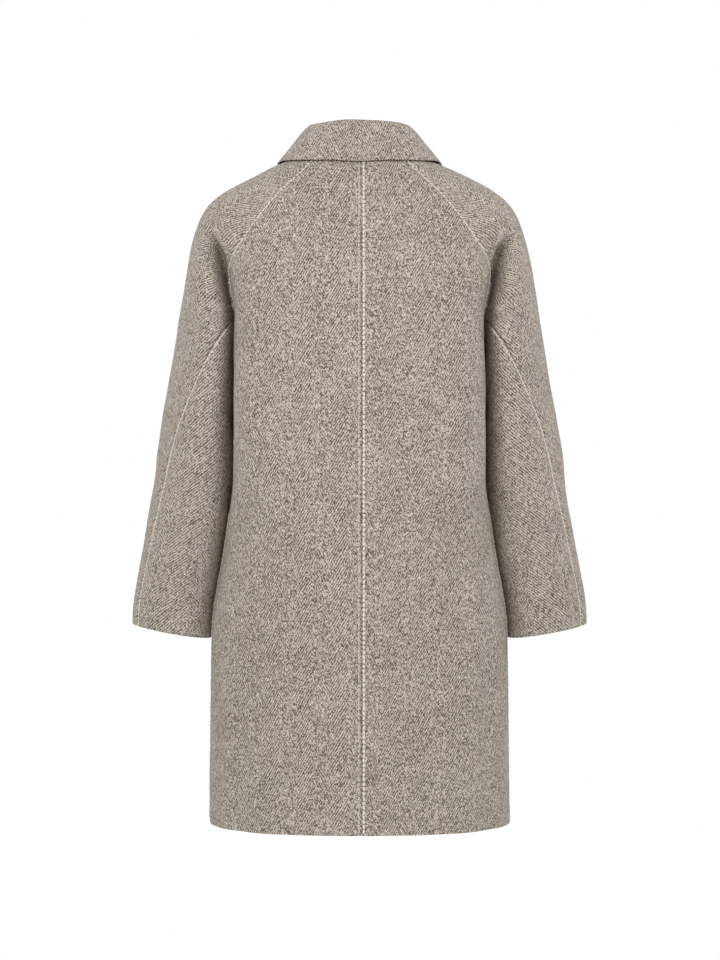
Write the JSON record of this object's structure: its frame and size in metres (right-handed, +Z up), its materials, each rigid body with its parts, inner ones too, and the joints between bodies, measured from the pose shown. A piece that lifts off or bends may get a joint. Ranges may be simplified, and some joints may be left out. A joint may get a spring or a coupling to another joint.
{
  "type": "raglan coat",
  "caption": "Straight hollow raglan coat in herringbone wool with a turned-down collar, a buttoned front and open neck, cuffs and hem, filled out as worn.",
  "frame": {"origin": "middle of the neck opening, level with the neck seam, where the wearer's neck and shoulders hold the coat", "axes": "+Z up the wearer, +X to the wearer's right, +Y to the wearer's front, so the back of the coat faces -Y"},
  "size_m": [0.61, 0.308, 0.9223],
  "materials": {
    "wool_cloth": "soft brushed herringbone wool",
    "button_horn": "satin, dark horn look"
  },
  "bodies": {
    "root": {"back_left": "wool_cloth", "back_right": "wool_cloth", "front_left": "wool_cloth", "front_right": "wool_cloth", "sleeve_upper_left": "wool_cloth", "sleeve_upper_right": "wool_cloth", "sleeve_under_left": "wool_cloth", "sleeve_under_right": "wool_cloth", "collar": "wool_cloth", "button_1": "button_horn", "button_2": "button_horn", "button_3": "button_horn", "button_4": "button_horn"}
  },
  "joints": []
}
